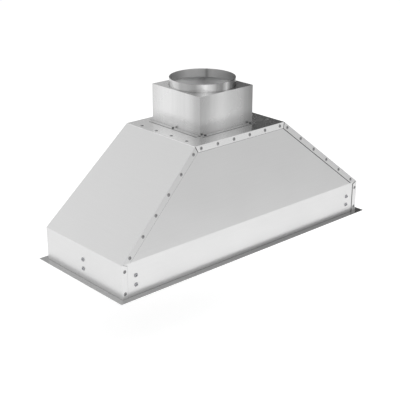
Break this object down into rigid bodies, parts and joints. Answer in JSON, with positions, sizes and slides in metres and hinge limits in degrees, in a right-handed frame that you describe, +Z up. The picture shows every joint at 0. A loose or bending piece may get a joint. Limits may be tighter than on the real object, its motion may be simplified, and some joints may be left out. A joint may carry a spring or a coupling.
{
  "type": "range hood insert",
  "caption": "Riveted sheet steel range hood insert with a bottom flange, baffle filters, push buttons, lights, an inner blower and a round duct collar on a square box.",
  "frame": {"origin": "centre of the bottom flange's underside", "axes": "+Z up along the duct, +X to the right along the long front, -Y towards the front"},
  "size_m": [1.016, 0.398, 0.498],
  "materials": {
    "shell_steel": "fine brushed satin",
    "trim_steel": "fine brushed satin",
    "filter_steel": "polished satin",
    "handle_wire": "bright drawn wire",
    "rivet_steel": "bright pressed",
    "screw_steel": "bright plated",
    "galvanised": "galvanised",
    "spring_steel": "blued",
    "motor_black": "semi-gloss enamel",
    "shaft_steel": "ground",
    "cast_aluminium": "die cast",
    "moulded_black": "moulded",
    "moulded_white": "moulded",
    "frosted_lens": "frosted",
    "board_green": "solder mask",
    "rubber_black": "moulded"
  },
  "bodies": {
    "hood": {"left_side_panel": "shell_steel", "right_side_panel": "shell_steel", "front_panel": "shell_steel", "rear_panel": "shell_steel", "top_plate": "shell_steel", "underside_deck": "shell_steel", "bottom_flange": "trim_steel", "duct_box": "trim_steel", "duct_collar": "trim_steel", "control_plate": "trim_steel", "light_bezels": "trim_steel", "front_seam_rivets": "rivet_steel", "rear_seam_rivets": "rivet_steel", "top_edge_rivets": "rivet_steel", "duct_box_screws": "screw_steel", "band_screws": "screw_steel", "blower_screws": "screw_steel", "motor_bolts": "screw_steel", "blower_scroll": "galvanised", "blower_left_plate": "galvanised", "blower_right_plate": "galvanised", "inlet_rings": "galvanised", "motor_bracket": "galvanised", "damper_frame": "galvanised", "wiring_box": "galvanised", "wiring_box_cover": "galvanised", "left_filter_catches": "spring_steel", "centre_filter_catches": "spring_steel", "right_filter_catches": "spring_steel", "light_clips": "spring_steel", "motor_body": "motor_black", "damper_pins": "shaft_steel", "light_housings": "cast_aluminium", "control_box": "moulded_black", "conduit_bushing": "moulded_black", "run_capacitor": "moulded_white", "light_driver": "moulded_white", "light_lenses": "frosted_lens", "control_board": "board_green", "motor_grommets": "rubber_black"},
    "blower_rotor": {"blower_wheel": "galvanised", "wheel_hub": "cast_aluminium", "motor_shaft": "shaft_steel"},
    "left_damper": {"left_damper_flap": "galvanised"},
    "right_damper": {"right_damper_flap": "galvanised"},
    "left_filter": {"left_filter_frame": "filter_steel", "left_filter_baffles": "filter_steel"},
    "left_handle": {"left_filter_handle": "handle_wire"},
    "centre_filter": {"centre_filter_frame": "filter_steel", "centre_filter_baffles": "filter_steel"},
    "centre_handle": {"centre_filter_handle": "handle_wire"},
    "right_filter": {"right_filter_frame": "filter_steel", "right_filter_baffles": "filter_steel"},
    "right_handle": {"right_filter_handle": "handle_wire"},
    "light_push": {"light_button": "trim_steel"},
    "fan_off_push": {"fan_off_button": "trim_steel"},
    "fan_low_push": {"fan_low_button": "trim_steel"},
    "fan_medium_push": {"fan_medium_button": "trim_steel"},
    "fan_high_push": {"fan_high_button": "trim_steel"}
  },
  "joints": [
    {"name": "blower_spin", "type": "hinge", "parent": "hood", "child": "blower_rotor", "pos_m": [0, -0.027, 0.211], "axis": [1, 0, 0], "continuous": true},
    {"name": "left_damper_swing", "type": "hinge", "parent": "hood", "child": "left_damper", "pos_m": [-0.0055, 0.04, 0.3623], "axis": [0, 1, 0], "range_deg": [0, 78]},
    {"name": "right_damper_swing", "type": "hinge", "parent": "hood", "child": "right_damper", "pos_m": [0.0055, 0.04, 0.3623], "axis": [0, -1, 0], "range_deg": [0, 78]},
    {"name": "left_filter_drop", "type": "hinge", "parent": "hood", "child": "left_filter", "pos_m": [-0.29667, 0.156, 0.031], "axis": [1, 0, 0], "range_deg": [0, 60], "deforming": ["left_filter_catches"]},
    {"name": "left_handle_swing", "type": "hinge", "parent": "left_filter", "child": "left_handle", "pos_m": [-0.29667, -0.0735, 0.0255], "axis": [1, 0, 0], "range_deg": [-80, 80]},
    {"name": "centre_filter_drop", "type": "hinge", "parent": "hood", "child": "centre_filter", "pos_m": [0, 0.156, 0.031], "axis": [1, 0, 0], "range_deg": [0, 60], "deforming": ["centre_filter_catches"]},
    {"name": "centre_handle_swing", "type": "hinge", "parent": "centre_filter", "child": "centre_handle", "pos_m": [0, -0.0735, 0.0255], "axis": [1, 0, 0], "range_deg": [-80, 80]},
    {"name": "right_filter_drop", "type": "hinge", "parent": "hood", "child": "right_filter", "pos_m": [0.29667, 0.156, 0.031], "axis": [1, 0, 0], "range_deg": [0, 60], "deforming": ["right_filter_catches"]},
    {"name": "right_handle_swing", "type": "hinge", "parent": "right_filter", "child": "right_handle", "pos_m": [0.29667, -0.0735, 0.0255], "axis": [1, 0, 0], "range_deg": [-80, 80]},
    {"name": "light_press", "type": "slide", "parent": "hood", "child": "light_push", "axis": [0, 0, 1], "range_m": [0, 0.0015], "stiffness_N_per_m": 300, "springref_m": -0.002},
    {"name": "fan_off_press", "type": "slide", "parent": "hood", "child": "fan_off_push", "axis": [0, 0, 1], "range_m": [0, 0.0015], "stiffness_N_per_m": 300, "springref_m": -0.002},
    {"name": "fan_low_press", "type": "slide", "parent": "hood", "child": "fan_low_push", "axis": [0, 0, 1], "range_m": [0, 0.0015], "stiffness_N_per_m": 300, "springref_m": -0.002},
    {"name": "fan_medium_press", "type": "slide", "parent": "hood", "child": "fan_medium_push", "axis": [0, 0, 1], "range_m": [0, 0.0015], "stiffness_N_per_m": 300, "springref_m": -0.002},
    {"name": "fan_high_press", "type": "slide", "parent": "hood", "child": "fan_high_push", "axis": [0, 0, 1], "range_m": [0, 0.0015], "stiffness_N_per_m": 300, "springref_m": -0.002}
  ]
}
